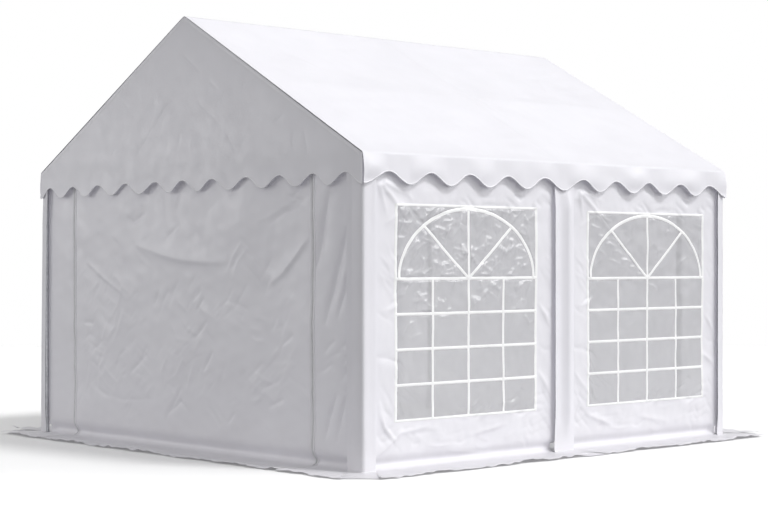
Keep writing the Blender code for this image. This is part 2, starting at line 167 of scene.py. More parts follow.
def folds(across, up, routes, gain=1.0, rooted=False, skew=0.25):
    """All the folds of one of the lists below, with gain times their height."""
    total = np.zeros(np.broadcast(across, up).shape)
    for width, height, *points in routes:
        route = np.array(points) / 100
        total += fold(across, up, route, width / 1000, gain * height / 1000, skew, rooted)
    return total


def crumples(
    across, up, zone, count, seed, lean=55.0, length=(0.06, 0.22), height=0.0022, wide=(0.03, 0.055)
):
    """Short random creases, often side by side, in a zone (low, high, foot, head)."""
    random = np.random.default_rng(seed)
    total = np.zeros(np.broadcast(across, up).shape)
    left = count
    while left > 0:
        middle = np.array([random.uniform(zone[0], zone[1]), random.uniform(zone[2], zone[3])])
        turns = np.radians([lean, -0.6 * lean] + random.normal(0, 14, 2))
        if random.random() < 0.25:
            turns = turns[::-1]
        group = min(left, int(random.integers(1, 4)))
        left -= group
        sign = -1 if random.random() < 0.65 else 1
        aside = np.array([-math.sin(turns[0]), math.cos(turns[0])])
        for _ in range(group):
            reach = random.uniform(*length)
            width = random.uniform(*wide)
            bend = random.uniform(0.0, 0.35) if random.random() < 0.4 else 0.0
            first = reach * np.array([math.cos(turns[0]), math.sin(turns[0])])
            second = bend * reach * np.array([math.cos(turns[1]), math.sin(turns[1])])
            bow = random.normal(0, 0.08) * reach * aside
            route = [middle, middle + first / 2 + bow, middle + first]
            if bend:
                route.append(middle + first + second)
            size = sign * height * random.uniform(0.5, 1.3)
            total += fold(across, up, route, width, size, skew=random.uniform(-0.4, 0.4))
            middle = middle + random.uniform(1.2, 2.2) * width * aside
            middle = middle + random.uniform(-0.5, 0.4) * first
    return total


# Folds that show in the cover, as (width and height in mm, points of its route in cm)
SWAGS = [
    (110, 19, (-70, 155), (-34, 147), (-10, 143), (19, 141), (50, 141)),
    (70, 5, (82, 170), (95, 173), (113, 180), (133, 188)),
    (75, 18, (93, 123), (113, 134), (127, 146), (142, 160)),
    (50, 9, (-139, 142), (-122, 133), (-103, 124), (-87, 117)),
]
DOOR_FOLDS = [
    (40, 4.5, (-77, 54), (-52, 71)),
    (40, 4, (-25, 26), (-7, 47)),
    (36, 4, (-28, 19), (-25, 26), (-9, 36), (1, 30)),
    (36, 4, (7, 83), (24, 98)),
    (30, 3, (6, 112), (16, 121)),
    (36, 4, (19, 60), (31, 76)),
    (30, 3, (10, 104), (19, 115)),
    (40, 1.8, (-122, 39), (-87, 33), (-40, 36)),
    (36, 4, (87, 50), (110, 58)),
    (36, 4, (95, 38), (115, 45)),
    (36, 4, (107, 79), (125, 91)),
    (30, 3, (49, 23), (57, 32)),
    (50, 3, (95, 168), (113, 176), (133, 180)),
    (40, 2, (115, 189), (138, 182)),
    (40, 3.5, (-28, 159), (-10, 170)),
    (40, 4, (-80, 177), (-71, 172), (-55, 179)),
    (36, 4, (-142, 93), (-126, 92)),
]
STRIP_FOLDS = [
    (60, 6, (162, 190), (155, 166), (148, 136)),
    (65, 7, (180, 166), (169, 134), (157, 98)),
    (45, 5, (187, 152), (177, 122), (170, 102)),
    (50, 4.5, (169, 53), (161, 35), (157, 19)),
    (45, 4, (181, 58), (173, 36), (169, 17)),
]
SIDE_FAN_FOLDS = [
    (40, 8, (-183, 195), (-179, 184), (-174, 171)),
    (45, 9, (-181, 195), (-167, 182), (-156, 170)),
    (45, 8, (-179, 196), (-156, 188)),
    (50, 11, (21, 195), (38, 183), (64, 160)),
    (40, 8, (22, 193), (25, 182), (28, 172)),
    (45, 8, (25, 195), (51, 187)),
]
SIDE_FOLDS = [
    (45, 7, (-184, 47), (-177, 30), (-164, 15)),
    (40, 6, (-182, 10), (-159, 27)),
    (36, 5, (-117, 9), (-70, 4)),
    (36, 4.5, (-167, 24), (-133, 28)),
    (36, 6, (177, 99), (192, 81)),
    (36, 6, (173, 68), (192, 56)),
    (40, 5.5, (-23, 112), (-8, 92)),
    (36, 5, (-24, 62), (-7, 41)),
    (36, 5, (16, 60), (33, 42)),
    (40, 5, (30, 27), (62, 16)),
    (40, 5, (-98, 18), (-55, 25)),
    (40, 4.5, (90, 22), (130, 15)),
]
FILM_CHAIN = [
    (36, 4, (36, 170), (42, 168), (48, 167)),
    (36, 4, (44, 162), (50, 161), (56, 159)),
    (36, 4, (52, 156), (58, 156), (65, 153)),
    (36, 4, (61, 150), (67, 150), (73, 147)),
    (36, 4, (70, 144), (78, 143), (84, 141)),
    (36, 4, (80, 138), (87, 138), (93, 135)),
    (36, 4, (90, 133), (97, 132), (102, 130)),
    (36, 3.5, (104, 124), (110, 123), (116, 120)),
    (36, 3.5, (38, 176), (48, 175), (60, 173)),
    (36, 3, (56, 144), (64, 142), (71, 140)),
]
GABLE_FOLDS = [
    (45, 4.5, (-7, 300), (21, 282)),
    (36, 3.5, (30, 276), (41, 268)),
    (50, 6.5, (13, 262), (46, 241)),
    (45, 5, (-16, 266), (-34, 251)),
    (50, 5.5, (-22, 261), (-65, 222)),
    (40, 4.5, (-5, 242), (-10, 220)),
    (40, 4.5, (49, 239), (63, 219)),
    (40, 4.5, (120, 248), (105, 239)),
    (36, 4, (128, 233), (125, 222)),
    (40, 4.5, (138, 235), (143, 215)),
    (40, 4, (24, 305), (52, 293)),
]
ROOF_FOLDS = [
    (50, 6, (2, 50), (6, 106), (14, 160)),
    (50, 5, (-24, 78), (5, 105), (30, 132)),
    (60, 4, (-150, 40), (-110, 100)),
    (60, 4, (155, 35), (115, 95)),
]

# Waves of the walls, as (height, size, seed)
END_WAVES = ((0.0050, 0.95, 10), (0.0020, 0.30, 20), (0.0008, 0.13, 30))
SIDE_WAVES = ((0.0040, 0.80, 10), (0.0016, 0.26, 20), (0.0006, 0.10, 30))

# Small creases of an end wall, as (zone, count, seed, lean, height)
END_CREASES = (
    ((-1.53, -0.90, 0.42, 0.97), 22, 100, 48, 0.0041),
    ((-0.28, 0.25, 0.15, 1.10), 20, 105, 52, 0.0038),
    ((0.70, 1.20, 0.30, 0.95), 20, 110, 38, 0.0041),
    ((1.47, 1.80, 0.50, 0.95), 12, 120, 32, 0.0065),
    ((-1.50, 1.30, 0.15, 1.45), 60, 130, 50, 0.0032),
    ((-1.50, 1.30, 1.50, 1.90), 12, 135, 50, 0.0026),
)
END_CREASE_LENGTH = (0.12, 0.32)

# Parts of a side wall under and over its windows, and beside them, as (low, high)
SIDE_PANELS = ((-1.90, -0.05), (0.05, 1.92))
BESIDE_WINDOWS = ((-1.92, -1.68), (-0.25, -0.02), (0.08, 0.32), (1.75, 1.93))


# Where the surfaces lie


# Places of the scallops' crests: five to a bay along a side valance, eleven along a gable's
BAY_MIDDLE, SIDE_STEP = 0.992, 0.39
SIDE_SHIFT, GABLE_SHIFT = 0.012, -0.018
SIDE_CRESTS = [
    bay * BAY_MIDDLE + SIDE_SHIFT + count * SIDE_STEP for bay in (-1, 1) for count in range(-2, 3)
]
STEPS = (0.36, 0.76, 1.14, 1.50, 1.84)
GABLE_CRESTS = [step + GABLE_SHIFT for step in (*(-s for s in reversed(STEPS)), 0.0, *STEPS)]


def valance_edge(along, crests, reach):
    """Height of a valance's scalloped lower edge."""
    places = [-2 * reach - crests[0], *crests, 2 * reach - crests[-1]]
    phase = np.interp(along, places, np.arange(len(places)))
    middle, swing, sag = EAVE - 0.1675, 0.0425, 0.0005
    return middle + swing * np.cos(2 * math.pi * phase) - sag * along**2


def skirt_lift(face, along, run):
    """How far the skirt rises off the ground, run metres out from the wall's fold."""
    outer = np.clip(run / SKIRT, 0.0, 1.0)
    waves = swell(along, 0, 0.5, 40 + face)
    small = swell(along, 0, 0.11, 50 + face)
    edge = 0.018 + 0.009 * waves + 0.006 * small
    inner = 0.004 * swell(along, run, 0.22, 60 + face) + 0.003
    droop = 1 - 0.35 * smooth_step(0.92, 1.0, outer)
    raised = np.maximum(edge, 0.002) * outer**2 * droop
    return raised + np.maximum(inner, 0.0) * np.sin(math.pi * outer)


def waved(along, up, waves, face):
    """All the waves of a list of (height, size, seed)."""
    return sum(height * swell(along, up, size, seed + face) for height, size, seed in waves)


def end_face_relief(face, along, up):
    """How far an end wall stands out of its plane."""
    relief = waved(along, up, END_WAVES, face)
    relief += folds(along, up, SWAGS, 1.0, skew=0.6)
    relief += folds(along, up, DOOR_FOLDS, -2.2)
    relief += folds(along, up, STRIP_FOLDS, -4.0)
    for zone, count, seed, lean, height in END_CREASES:
        relief += crumples(along, up, zone, count, seed + face, lean, END_CREASE_LENGTH, height)
    zone = (-1.55, 1.35, 0.20, 1.20)
    small = (0.06, 0.16)
    relief += crumples(along, up, zone, 110, 125 + face, 46, small, 0.0021, (0.018, 0.028))
    zip_depth, zip_width = 0.0030, 0.018
    for place in ZIPS:
        relief -= zip_depth * np.exp(-(((along - place) / zip_width) ** 2))
    return relief


def side_face_relief(face, along, up):
    """How far a side wall stands out of its plane."""
    relief = waved(along, up, SIDE_WAVES, face)
    relief += folds(along, up, SIDE_FAN_FOLDS, 1.3, rooted=True)
    relief += folds(along, up, SIDE_FOLDS, 2.0)
    drawn_in = 0.010
    relief -= drawn_in * (1 - smooth_step(0.05, 0.45, up))
    for low, high in SIDE_PANELS:
        zone = (low, high, 0.12, 0.34)
        relief += crumples(along, up, zone, 70, 140 + face, 25, (0.08, 0.22), 0.0042, (0.020, 0.036))
        zone = (low, high, 1.80, 2.05)
        relief += crumples(along, up, zone, 30, 150 + face, -30, height=0.0050, wide=(0.022, 0.042))
    for low, high in BESIDE_WINDOWS:
        zone = (low, high, 0.20, 1.75)
        relief += crumples(along, up, zone, 36, 160 + face, -50, (0.10, 0.26), 0.0036, (0.022, 0.038))
    return relief


def wall_relief(face, along, up):
    """The wall's relief, calmer at its edges. The front and right ones curl in at the legs."""
    flat = np.maximum(up, 0.0)
    from_leg = WALL_END - np.abs(along)
    if face % 2 == 0:
        relief = end_face_relief(face, along, flat)
    else:
        relief = side_face_relief(face, along, flat)
        from_leg = np.minimum(from_leg, np.abs(along) - WALL_AT_MIDDLE_LEG)
    calm = 0.3 + 0.7 * smooth_step(0.02, 0.16, from_leg)
    relief = np.clip(relief * calm, -0.022, 0.020)
    if face < 2:
        curl, curl_reach = 0.018, 0.024
        relief -= curl * (1 - smooth_step(0.0, curl_reach, from_leg))
    return relief * smooth_step(0.0, 0.14, up)


def ground_profile():
    """Tables of a wall's turn, way out and height, over the way up along the sheet."""
    up = np.linspace(FOLD_TOP, PROFILE_UP[0], 600)
    turn = np.radians(np.interp(up, PROFILE_UP, PROFILE_TURN))
    turn = np.convolve(np.pad(turn, 6, mode="edge"), np.ones(13) / 13, mode="valid")
    step = up[0] - up[1]
    out = np.concatenate([[0.0], np.cumsum(np.sin(turn[:-1])) * step])
    fall = np.concatenate([[0.0], np.cumsum(np.cos(turn[:-1])) * step])
    return up[::-1], turn[::-1], out[::-1], fall[::-1]


TABLE_UP, TABLE_TURN, TABLE_OUT, TABLE_FALL = ground_profile()
FOLD_HEIGHT = TABLE_FALL[0]


def on_profile(up):
    """The turn, the way out and the height above the ground at ways up along a wall."""
    turn = np.interp(up, TABLE_UP, TABLE_TURN)
    out = np.interp(up, TABLE_UP, TABLE_OUT)
    fall = np.interp(up, TABLE_UP, TABLE_FALL)
    return turn, out, FOLD_HEIGHT - fall + np.maximum(up - FOLD_TOP, 0.0)


SKIRT_TIP = float(np.interp(-SKIRT, -TABLE_OUT, TABLE_UP))


def way_up(height):
    """The way up along a wall at a height above the ground."""
    return height + FOLD_TOP - FOLD_HEIGHT


def wall_surface(face):
    """The surface of a wall and its skirt, as a function of along, up and lift."""

    def surface(along, up, lift=0.0):
        turn, out, height = on_profile(up)
        tucked = smooth_step(0.02, 0.10, WALL_END - np.abs(along))
        out = np.where(out < 0, out * tucked, out)
        relief = wall_relief(face, along, height) + skirt_lift(face, along, out) + lift
        out = WALL_OUT + out + relief * np.cos(turn)
        return to_world(face, along, out, GROUND + height + relief * np.sin(turn))

    return surface


def gable_surface(face):
    """The surface of a gable and its valance."""

    def surface(along, up, lift=0.0):
        triangle = smooth_step(2.10, 2.35, up)
        below = np.clip((RIDGE - np.abs(along) * math.tan(PITCH) - up) / 0.2, 0.0, 1.0)
        relief = 0.0030 * swell(along, up, 0.75, 70 + face) * triangle * below
        relief += 0.0006 * swell(along, up, 0.16, 71 + face) * below
        relief += folds(along, up, GABLE_FOLDS, -0.8) * below
        zone = (-1.2, 1.2, 2.15, 2.75)
        relief += crumples(along, up, zone, 30, 170 + face, 62, (0.10, 0.30), 0.0014)
        depth = np.clip((EAVE - up) / VALANCE_DEPTH, 0.0, 1.0)
        wave = 0.5 + 0.5 * swell(along, 0, 0.42, 72 + face)
        relief += 0.010 * depth * np.maximum(wave, 0.0)
        relief = np.clip(relief, -0.012, 0.022)
        return to_world(face, along, HALF - SHEET_IN_SOLID + relief + lift, up)

    return surface


SLOPE = HALF / math.cos(PITCH)
EAVE_ROUNDING = 0.016
EAVE_TURN = math.pi / 2 - PITCH
EAVE_TANGENT = EAVE_ROUNDING * math.tan(EAVE_TURN / 2)
SLOPE_STRAIGHT = SLOPE - EAVE_TANGENT
EAVE_ARC_END = SLOPE_STRAIGHT + EAVE_ROUNDING * EAVE_TURN
SLOPE_PURLIN = WALL_OUT / 2 / math.cos(PITCH)
RIDGE_ROUNDING = 0.012
SAG = 0.022


def roof_relief(along, down):
    """The roof sheet's sag between its tubes, its creases over them and its folds."""
    slope = np.abs(down)
    bay = np.sin(math.pi * np.minimum(np.abs(along) / WALL_OUT, 1.0)) ** 0.7
    upper = np.clip(slope / SLOPE_PURLIN, 0, 1)
    lower = np.clip((slope - SLOPE_PURLIN) / (SLOPE - SLOPE_PURLIN), 0, 1)
    cell = 4 * np.maximum(upper * (1 - upper), lower * (1 - lower)) * bay
    soft = np.clip(cell * 3, 0, 1)
    shifted = slope + np.where(down > 0, 0.0, 3.7)
    relief = -SAG * cell
    relief += 0.0028 * swell(along, shifted, 0.55, 80) * soft
    relief += 0.0010 * swell(along, shifted, 0.20, 81) * soft
    relief += folds(along, slope, ROOF_FOLDS)
    rafter_crease, rafter_width = 0.0009, 0.03
    relief += rafter_crease * np.exp(-((along / rafter_width) ** 4))
    return relief


def valance_relief(along, depth, side):
    """How far a side valance swings out, depth metres below the eave."""
    share = np.clip(depth / VALANCE_DEPTH, 0.0, 1.0)
    wave = 0.5 + 0.6 * swell(along, 0, 0.42, 84 + side)
    small = swell(along, depth, 0.15, 86 + side)
    bulge = np.sin(0.9 * math.pi * np.minimum(share / 0.85, 1.0)) * np.maximum(wave, 0.0)
    return 0.008 * share + 0.013 * bulge + 0.0015 * small * share


def roof_surface(along, down, lift=0.0):
    """The roof's surface. down is the way from the ridge, which is less than 0 on the left."""
    way = np.abs(down)
    turn = np.clip((way - SLOPE_STRAIGHT) / EAVE_ROUNDING, 0.0, EAVE_TURN)
    straight = np.minimum(way, SLOPE_STRAIGHT)
    hang = np.maximum(way - EAVE_ARC_END, 0.0)
    eased = np.hypot(straight, RIDGE_ROUNDING) - RIDGE_ROUNDING
    x = straight * math.cos(PITCH)
    x = x + EAVE_ROUNDING * (np.sin(PITCH + turn) - math.sin(PITCH))
    z = RIDGE - eased * math.sin(PITCH)
    z = z - EAVE_ROUNDING * (math.cos(PITCH) - np.cos(PITCH + turn)) - hang
    on_slope = 1 - smooth_step(SLOPE_STRAIGHT - 0.05, SLOPE_STRAIGHT, way)
    relief = roof_relief(along, down) * on_slope - SHEET_IN_SOLID + lift
    left, right = (valance_relief(along, hang, side) for side in (0, 1))
    relief = relief + np.where(down < 0, left, right)
    normal_x = np.sin(PITCH + turn) * smooth_step(0.0, 0.02, way)
    normal_z = np.cos(PITCH + turn)
    x = (x + relief * normal_x) * np.where(down < 0, -1.0, 1.0)
    return np.stack(np.broadcast_arrays(x, along, z + relief * normal_z), axis=-1)


def valance_way(along):
    """The way from the ridge down to a side valance's scalloped edge."""
    depth = EAVE - valance_edge(along, SIDE_CRESTS, HALF)
    return EAVE_ARC_END + depth - EAVE_TANGENT


def sleeve_surface(corner):
    """A corner sleeve's surface. way runs round the corner, from its first free edge."""
    first, second = CORNER_WIDTHS[corner]
    quarter = math.pi / 2
    arc = SLEEVE_ROUNDING * quarter
    corner_at = first - SLEEVE_ROUNDING
    total = corner_at + arc + second - SLEEVE_ROUNDING
    edge = SLEEVE_OUT - SHEET_IN_SOLID
    leg_swell, top_swell = 0.018, 0.014
    free_flare = 0.008

    def surface(way, up, lift=0.0):
        share = way / total
        round_turn = np.clip((way - corner_at) / SLEEVE_ROUNDING, 0.0, quarter)
        along = edge - SLEEVE_ROUNDING + SLEEVE_ROUNDING * np.sin(round_turn)
        along = along + np.minimum(way - corner_at, 0.0)
        out = edge - SLEEVE_ROUNDING + SLEEVE_ROUNDING * np.cos(round_turn)
        out = out - np.maximum(way - corner_at - arc, 0.0)
        tip_along = edge + FLAP_NEAR + share * (FLAP_FAR - FLAP_NEAR)
        tip_out = edge + FLAP_FAR + share * (FLAP_NEAR - FLAP_FAR)
        if CORNERS[corner] == "front_left":
            out = out + leg_swell * (1 - smooth_step(0.2, 1.9, up))
            out = out + top_swell * (1 - smooth_step(1.70, 1.95, up))
        step_along = tip_along - along
        step_out = tip_out - out
        length = np.hypot(step_along, step_out)
        turn, run, height = on_profile(up)
        turn = np.maximum(turn, 0.0)
        run = np.maximum(run, 0.0) * length / SKIRT
        relief = 0.0012 * swell(way, up, 0.5, 90 + corner) + 0.0008
        relief = np.clip(relief, -0.0015, 0.003) + lift
        free = 1 - smooth_step(0.0, 0.05, np.minimum(way, total - way))
        relief = relief + free_flare * free * smooth_step(0.0, 0.2, up)
        raised = (0.004 + 0.003 * np.sin(math.pi * share)) * run
        level = relief * np.cos(turn)
        along = along + step_along / length * run + level * np.sin(round_turn)
        out = out + step_out / length * run + level * np.cos(round_turn)
        up = GROUND + height + raised + np.maximum(relief, 0.0) * np.sin(turn)
        return to_world(corner, along, out, up)

    return surface, total


# The middle sleeve's section, as places along the wall and how far out they are
MIDDLE_ALONG = (-0.078, -0.058, -0.042, -0.022, 0.005, 0.035, 0.060, 0.080, 0.105, 0.137)
MIDDLE_OUT = (2.0000, 1.9985, 1.9940, 1.9888, 1.9890, 2.0010, 2.0150, 2.0145, 2.0000, 1.9890)
MIDDLE_FLAT_OUT = 1.990


def middle_sleeve_surface(face):
    """The surface of the sleeve over a middle leg, flatter at its top and on the ground."""
    softening = (-0.009, 0.0, 0.009)

    def surface(along, up, lift=0.0):
        turn, run, height = on_profile(up)
        turn = np.maximum(turn, 0.0)
        run = np.maximum(run, 0.0)
        near = [np.interp(along + step, MIDDLE_ALONG, MIDDLE_OUT) for step in softening]
        body = smooth_step(0.05, 0.35, height) * (1 - smooth_step(1.80, 2.00, height))
        out = sum(near) / 3 * body + MIDDLE_FLAT_OUT * (1 - body) + run * 0.93
        raised = 0.010 * run + 0.001
        relief = 0.0008 * swell(along, up, 0.4, 95 + face) + lift
        up = GROUND + height + raised + relief * np.sin(turn)
        return to_world(face, along, out + relief * np.cos(turn), up)

    return surface


# The windows of a side, as (middle, foot, springing of the arch, head)
WINDOWS = ((-0.962, 0.331, 1.301, 1.808), (1.030, 0.328, 1.291, 1.793))
WINDOW_HALF = 0.706
COLUMN_STEP = 0.354
ARCH_HALF = 0.674
ARCH_DROP = 0.018
SPOKE_ACROSS, SPOKE_RISE = 0.44, 0.365


def row_levels(window):
    """Heights of a window's level bars between its foot and its arch."""
    _, foot, springing, _ = window
    return [foot + (springing - foot) * step / 4 for step in (1, 2, 3, 4)]


def off_bars(window, along, up):
    """How far places on a window are from its nearest bar, in metres."""
    centre, foot, springing, head = window
    across = np.abs(along - centre)
    away = np.minimum(across, WINDOW_HALF - across)
    for level in (foot, *row_levels(window), head):
        away = np.minimum(away, np.abs(up - level))
    above = up > springing
    away = np.where(above, away, np.minimum(away, np.abs(across - COLUMN_STEP)))
    rise = head - ARCH_DROP - springing
    mean_radius = 0.55
    arch = np.abs(np.hypot(across / ARCH_HALF, (up - springing) / rise) - 1) * mean_radius
    spoke = np.abs(SPOKE_RISE * across - SPOKE_ACROSS * (up - springing))
    spoke = spoke / math.hypot(SPOKE_RISE, SPOKE_ACROSS)
    return np.where(above, np.minimum(away, np.minimum(arch, spoke)), away)


def ripples(along, up, zone, count, seed, height):
    """Short curved creases of a film that hangs, steep above and gentle below."""
    random = np.random.default_rng(seed)
    total = np.zeros(np.broadcast(along, up).shape)
    low, high, foot, head = zone
    for _ in range(count):
        level = foot + (head - foot) * random.random() ** 0.6
        middle = np.array([random.uniform(low, high), level])
        turn = math.radians(random.normal(18, 22))
        towards = np.array([math.cos(turn), math.sin(turn)])
        aside = np.array([-towards[1], towards[0]])
        half = random.uniform(0.04, 0.11)
        bows = (0, *(random.normal(0, 0.3, 2) * half), 0)
        route = [
            middle + place * half * towards + bow * aside
            for place, bow in zip((-1, -0.4, 0.4, 1), bows)
        ]
        width = random.uniform(0.032, 0.048)
        total += fold(along, up, route, width, height * random.uniform(0.5, 1.4), skew=-0.45)
    return total


def film_surface(face, window):
    """The surface of a window's film, which is rippled between its bars."""
    centre, foot, _, head = window
    low, high = centre - WINDOW_HALF, centre + WINDOW_HALF

    def surface(along, up, lift=0.0):
        relief = wall_relief(face, along, up)
        free = smooth_step(0.006, 0.026, off_bars(window, along, up))
        if centre < 0:
            waves = ripples(along, up, (low, high, 0.90, head), 165, 200 + face, 0.0058)
        else:
            waves = ripples(along, up, (low, high, 1.20, head), 40, 204 + face, 0.0026)
            waves += folds(along, up, FILM_CHAIN, 1.5, skew=-0.45)
        waves += ripples(along, up, (low, high, foot, head), 30, 208 + face, 0.0010)
        waves += 0.0008 * swell(along, up, 0.14, 220 + face)
        return to_world(face, along, WALL_OUT + relief + waves * free + lift, up)

    return surface


# Mesh building


def add_object(name, data):
    piece = bpy.data.objects.new(name, data)
    bpy.context.scene.collection.objects.link(piece)
    return piece


def new_piece(name, points, faces, material, nodes):
    """A smooth piece of the tent, which stands for the CAD's nodes, if any."""
    mesh = bpy.data.meshes.new(name)
    mesh.from_pydata(points, [], faces)
    mesh.materials.append(material)
    mesh.shade_smooth()
    piece = add_object(name, mesh)
    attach(piece, "root")
    if nodes:
        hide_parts(*nodes)
    return piece


def stations(breaks, pitch):
    """Numbers from the first break to the last, no further apart than pitch."""
    values = [breaks[0]]
    for low, high in zip(breaks, breaks[1:]):
        count = max(1, math.ceil(abs(high - low) / pitch - 1e-6))
        values.extend(low + (high - low) * (step + 1) / count for step in range(count))
    return np.array(values)


def grid_object(name, points, nodes, material, keep=None):
    """A sheet from a grid of points, without the cells that keep leaves out."""
    rows, columns = points.shape[:2]
    numbers = np.arange(rows * columns).reshape(rows, columns)
    around = [numbers[:-1, :-1], numbers[:-1, 1:], numbers[1:, 1:], numbers[1:, :-1]]
    cells = np.stack(around, axis=-1)
    cells = cells[keep] if keep is not None else cells.reshape(-1, 4)
    used, cells = np.unique(cells, return_inverse=True)
    corners = points.reshape(-1, 3)[used].tolist()
    return new_piece(name, corners, cells.reshape(-1, 4).tolist(), material, nodes)


# A band's section, as (share of its width, share of its thickness)
BAND_SECTION = ((-0.5, 0.0), (-0.42, 0.8), (0.0, 1.0), (0.42, 0.8), (0.5, 0.0), (0.0, -0.2))


def band_parts(surface, route, width, thickness, lift):
    """Points and faces of a slim closed band that follows a surface along a route."""
    route = np.array(route, float)
    steps = np.gradient(route, axis=0)
    steps /= np.hypot(steps[:, 0], steps[:, 1])[:, None]
    aside = np.stack([-steps[:, 1], steps[:, 0]], axis=-1)
    rings = []
    for across, high in BAND_SECTION:
        place = route + across * width * aside
        rings.append(surface(place[:, 0], place[:, 1], lift + high * thickness))
    points = np.stack(rings, axis=1)
    count, around = points.shape[:2]
    ring = np.arange(around)
    low = np.arange(count - 1)[:, None] * around
    after = np.roll(ring, -1)
    sides = [low + ring, low + after, low + around + after, low + around + ring]
    faces = np.stack(sides, axis=-1).reshape(-1, 4).tolist()
    ends = [ring[::-1].tolist(), ((count - 1) * around + ring).tolist()]
    return points.reshape(-1, 3).tolist(), faces + ends


def bands(name, parts, material, nodes=()):
    """One piece from several closed bands, each (surface, route, width, thickness, lift)."""
    points, faces = [], []
    for part in parts:
        own_points, own_faces = band_parts(*part)
        done = len(points)
        faces.extend([done + number for number in face] for face in own_faces)
        points.extend(own_points)
    piece = new_piece(name, points, faces, material, nodes)
    piece.data.set_sharp_from_angle(angle=math.radians(60))
    return piece


def line(start, end, pitch=0.012):
    """A route of even steps between two (across, up) points."""
    start, end = np.array(start, float), np.array(end, float)
    count = max(2, math.ceil(np.hypot(*(end - start)) / pitch) + 1)
    return start + np.linspace(0, 1, count)[:, None] * (end - start)


# Materials

# Most of a noise lies in this range
NOISE_RANGE = (0.35, 0.65)
SMOOTH = {"interpolation_type": "SMOOTHSTEP"}


def set_inputs(tree, node, inputs):
    """Links each named input of a node to a socket, or gives it a value."""
    for key, value in inputs.items():
        if isinstance(value, bpy.types.NodeSocket):
            tree.links.new(value, node.inputs[key])
        else:
            node.inputs[key].default_value = value


def add_node(tree, kind, inputs, **settings):
    node = tree.nodes.new(kind)
    for key, value in settings.items():
        setattr(node, key, value)
    set_inputs(tree, node, inputs)
    return node


def new_material(name):
    material = bpy.data.materials.new(name)
    material.use_nodes = True
    return material, material.node_tree, material.node_tree.nodes["Principled BSDF"]


def texture_place(tree):
    """The place on the object, in metres."""
    return add_node(tree, "ShaderNodeTexCoord", {}).outputs["Object"]


def noise(tree, scale, detail=3.0):
    """A noise over the object's own metres. Its result is a number from 0 to 1."""
    inputs = {"Vector": texture_place(tree), "Scale": scale, "Detail": detail}
    return add_node(tree, "ShaderNodeTexNoise", inputs).outputs["Fac"]


def combined(tree, operation, first, second):
    """Two values put together by a math operation."""
    node = add_node(tree, "ShaderNodeMath", {0: first, 1: second}, operation=operation)
    return node.outputs["Value"]


def spread(tree, value, before, after, **settings):
    """The value, spread from the range before to the range after."""
    names = ("Value", "From Min", "From Max", "To Min", "To Max")
    inputs = dict(zip(names, (value, *before, *after)))
    return add_node(tree, "ShaderNodeMapRange", inputs, **settings).outputs["Result"]


def tinted(tree, value, dark, light):
    """A colour between dark and light."""
    ramp = add_node(tree, "ShaderNodeValToRGB", {"Fac": value})
    for stop, place, colour in zip(ramp.color_ramp.elements, (0.3, 0.7), (dark, light)):
        stop.position = place
        stop.color = (*colour, 1)
    return ramp.outputs["Color"]


def bumped(tree, height, distance, strength=1.0, under=None):
    """A normal that the height bends, over the normal under it."""
    inputs = {"Height": height, "Distance": distance, "Strength": strength}
    if under:
        inputs["Normal"] = under
    return add_node(tree, "ShaderNodeBump", inputs).outputs["Normal"]


def weave(tree, scale):
    """A grid of threads along all three axes, 10 mm apart at a scale of 30."""
    inputs = {"Vector": texture_place(tree), "Scale": scale}
    along_x, along_y, along_z = [
        add_node(tree, "ShaderNodeTexWave", inputs, bands_direction=axis).outputs["Fac"]
        for axis in "XYZ"
    ]
    return combined(tree, "MAXIMUM", combined(tree, "MAXIMUM", along_x, along_y), along_z)


def dust_and_painted_shade(tree, colour):
    """The colour, darker in patches towards the ground: partly dust where the cover lies on or near
    it, partly painted shade on the skirts and lower walls.
    """
    split = add_node(tree, "ShaderNodeSeparateXYZ", {"Vector": texture_place(tree)})
    # Painted shade as well as dust: the cover is darkened up to 0.42 m above the ground, most at the
    # foot
    low = spread(tree, split.outputs["Z"], (0.008, 0.42), (1.0, 0.0), **SMOOTH)
    patches = spread(tree, noise(tree, 5.0, 6.0), NOISE_RANGE, (0.6, 1.0))
    amount = combined(tree, "MULTIPLY", low, patches)
    inputs = {"Factor": amount, "A": colour, "B": (0.93, 0.925, 0.915, 1.0)}
    mix = add_node(tree, "ShaderNodeMix", inputs, data_type="RGBA", blend_type="MULTIPLY")
    return mix.outputs["Result"]


def pvc_material(name, dark, light, shine, crinkle):
    """Coated white tarpaulin that lets a little light through."""
    material, tree, shader = new_material(name)
    # The tarpaulin's random tone, with dust and painted shade towards the ground
    colour = dust_and_painted_shade(tree, tinted(tree, noise(tree, 2.2, 5.0), dark, light))
    roughness = spread(tree, noise(tree, 9.0, 2.0), NOISE_RANGE, (shine - 0.06, shine + 0.06))
    threads = bumped(tree, weave(tree, 30.0), 0.00004, 0.5)
    creases = bumped(tree, noise(tree, 7.0, 4.0), crinkle, 1.0, threads)
    set_inputs(tree, shader, {"Base Color": colour, "Roughness": roughness, "Normal": creases})
    glow = add_node(tree, "ShaderNodeBsdfTranslucent", {"Color": colour, "Normal": creases})
    inputs = {"Fac": 0.15, 1: shader.outputs["BSDF"], 2: glow.outputs["BSDF"]}
    mix = add_node(tree, "ShaderNodeMixShader", inputs)
    set_inputs(tree, tree.nodes["Material Output"], {"Surface": mix.outputs["Shader"]})
    return material


def plain_material(name, dark, light, rough, bump, scales=(18.0, 40.0, 90.0), more=None):
    """A finish whose colour, gloss and surface vary, by noises of three scales."""
    material, tree, shader = new_material(name)
    inputs = {
        "Base Color": tinted(tree, noise(tree, scales[0]), dark, light),
        "Roughness": spread(tree, noise(tree, scales[1]), NOISE_RANGE, rough),
        "Normal": bumped(tree, noise(tree, scales[2]), bump),
    }
    set_inputs(tree, shader, inputs | (more or {}))
    return material


